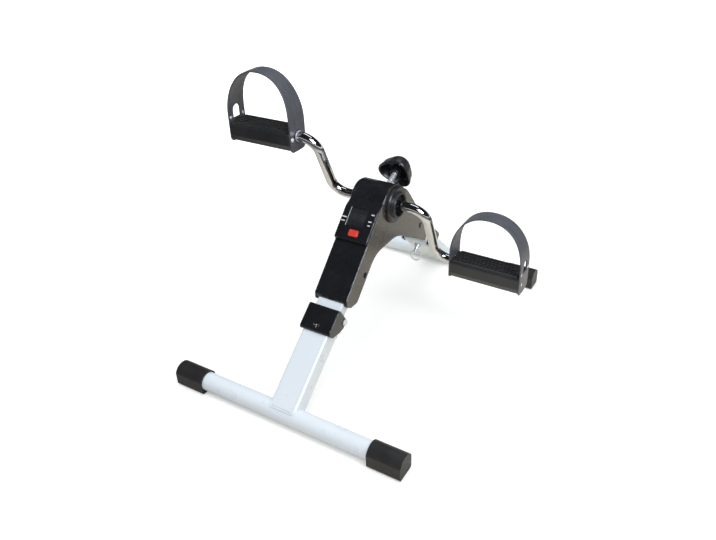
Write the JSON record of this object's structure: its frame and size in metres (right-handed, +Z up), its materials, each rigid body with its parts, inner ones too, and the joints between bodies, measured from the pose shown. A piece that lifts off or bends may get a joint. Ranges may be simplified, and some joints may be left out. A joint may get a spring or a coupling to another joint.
{
  "type": "mini exercise bike",
  "caption": "Low folding pedal exerciser with a black body and display, bent chrome crank, weighted pedals with rigid foot hoops and a tension knob.",
  "frame": {"origin": "on the floor in the middle of the footprint", "axes": "+Z up, +X to the right-hand pedal, -Y to the display and front bar, +Y to the knob and rear bar"},
  "size_m": [0.4452, 0.525, 0.4163],
  "materials": {
    "white_powder_coat": "gloss powder coat",
    "black_gloss_plastic": "gloss front, fine texture on the sides",
    "black_soft_plastic": "fine moulded texture",
    "dark_grey_plastic": "slight sheen",
    "chrome": "bright plated",
    "plain_steel": "zinc plated",
    "display_glass": "clear over a grey screen",
    "red_button": "moulded",
    "circuit_board": "solder mask",
    "brake_lining": "pressed felt lining"
  },
  "bodies": {
    "housing": {"main_frame": "white_powder_coat", "body_shell_left": "black_gloss_plastic", "body_shell_right": "black_gloss_plastic", "display_pod": "black_gloss_plastic", "display_window": "display_glass", "lcd_module": "display_glass", "display_board": "circuit_board", "button_cell": "plain_steel", "reed_sensor": "black_soft_plastic", "bearing_left": "plain_steel", "bearing_right": "plain_steel", "hub_cover_left": "black_gloss_plastic", "hub_cover_right": "black_gloss_plastic", "shell_screw_front": "plain_steel", "shell_screw_rear": "plain_steel", "tension_nut": "plain_steel"},
    "crank": {"friction_drum": "plain_steel", "drum_magnet": "plain_steel", "crank_left": "chrome", "crank_right": "chrome", "spindle_washer_left": "plain_steel", "spindle_washer_right": "plain_steel", "spindle_nut_left": "plain_steel", "spindle_nut_right": "plain_steel"},
    "left_pedal": {"pedal_left": "black_soft_plastic", "pedal_weight_left": "plain_steel", "foot_hoop_left": "dark_grey_plastic"},
    "right_pedal": {"pedal_right": "black_soft_plastic", "pedal_weight_right": "plain_steel", "foot_hoop_right": "dark_grey_plastic"},
    "brake": {"brake_shoe": "plain_steel", "brake_pad": "brake_lining"},
    "knob": {"tension_knob": "black_gloss_plastic", "tension_screw": "chrome"},
    "button": {"mode_button": "red_button"},
    "front_support": {"front_leg": "white_powder_coat", "front_bar": "white_powder_coat", "front_cap_left": "black_soft_plastic", "front_cap_right": "black_soft_plastic", "front_hinge_cover": "black_gloss_plastic", "front_cover_screw": "plain_steel", "front_pivot_pin": "plain_steel", "front_pin_bushing": "plain_steel"},
    "rear_support": {"rear_leg": "white_powder_coat", "rear_bar": "white_powder_coat", "rear_cap_left": "black_soft_plastic", "rear_cap_right": "black_soft_plastic", "rear_hinge_cover": "black_gloss_plastic", "rear_cover_screw": "plain_steel", "rear_pivot_pin": "plain_steel", "rear_pin_bushing": "plain_steel"},
    "front_lock": {"front_lock_pin": "plain_steel"},
    "rear_lock": {"rear_lock_pin": "plain_steel"},
    "front_ring": {"front_pull_ring": "plain_steel"},
    "rear_ring": {"rear_pull_ring": "plain_steel"}
  },
  "joints": [
    {"name": "crank_spin", "type": "hinge", "parent": "housing", "child": "crank", "pos_m": [0, 0.0242, 0.226], "axis": [1, 0, 0], "continuous": true},
    {"name": "left_pedal_spin", "type": "hinge", "parent": "crank", "child": "left_pedal", "pos_m": [0, -0.02023, 0.32532], "axis": [1, 0, 0], "continuous": true},
    {"name": "right_pedal_spin", "type": "hinge", "parent": "crank", "child": "right_pedal", "pos_m": [0, 0.06863, 0.12668], "axis": [1, 0, 0], "continuous": true},
    {"name": "front_leg_fold", "type": "hinge", "parent": "housing", "child": "front_support", "pos_m": [0, -0.1235, 0.1021], "axis": [1, 0, 0], "range_deg": [0, 100]},
    {"name": "rear_leg_fold", "type": "hinge", "parent": "housing", "child": "rear_support", "pos_m": [0, 0.1548, 0.0914], "axis": [-1, 0, 0], "range_deg": [0, 100]},
    {"name": "front_lock_pull", "type": "slide", "parent": "front_support", "child": "front_lock", "axis": [0, 0.6185, -0.7858], "range_m": [-0.006, 0]},
    {"name": "rear_lock_pull", "type": "slide", "parent": "rear_support", "child": "rear_lock", "axis": [0, -0.688, -0.7257], "range_m": [-0.006, 0]},
    {"name": "front_ring_swing", "type": "hinge", "parent": "front_lock", "child": "front_ring", "pos_m": [0, -0.1222, 0.08105], "axis": [1, 0, 0], "range_deg": [-40, 40]},
    {"name": "rear_ring_swing", "type": "hinge", "parent": "rear_lock", "child": "rear_ring", "pos_m": [0, 0.15157, 0.07055], "axis": [-1, 0, 0], "range_deg": [-40, 40]},
    {"name": "tension_feed", "type": "slide", "parent": "housing", "child": "brake", "axis": [0, 0.9171, 0.3987], "range_m": [-0.0009, 0.0009]},
    {"name": "knob_turn", "type": "hinge", "parent": "brake", "child": "knob", "pos_m": [0, 0.0242, 0.226], "axis": [0, 0.9171, 0.3987], "range_deg": [-255, 255]},
    {"name": "button_press", "type": "slide", "parent": "housing", "child": "button", "axis": [0, 0.6934, -0.7206], "range_m": [0, 0.001], "stiffness_N_per_m": 300}
  ],
  "couplings": [
    {"joint": "tension_feed", "follows": "knob_turn", "m_per_rad": 0.00019894}
  ]
}
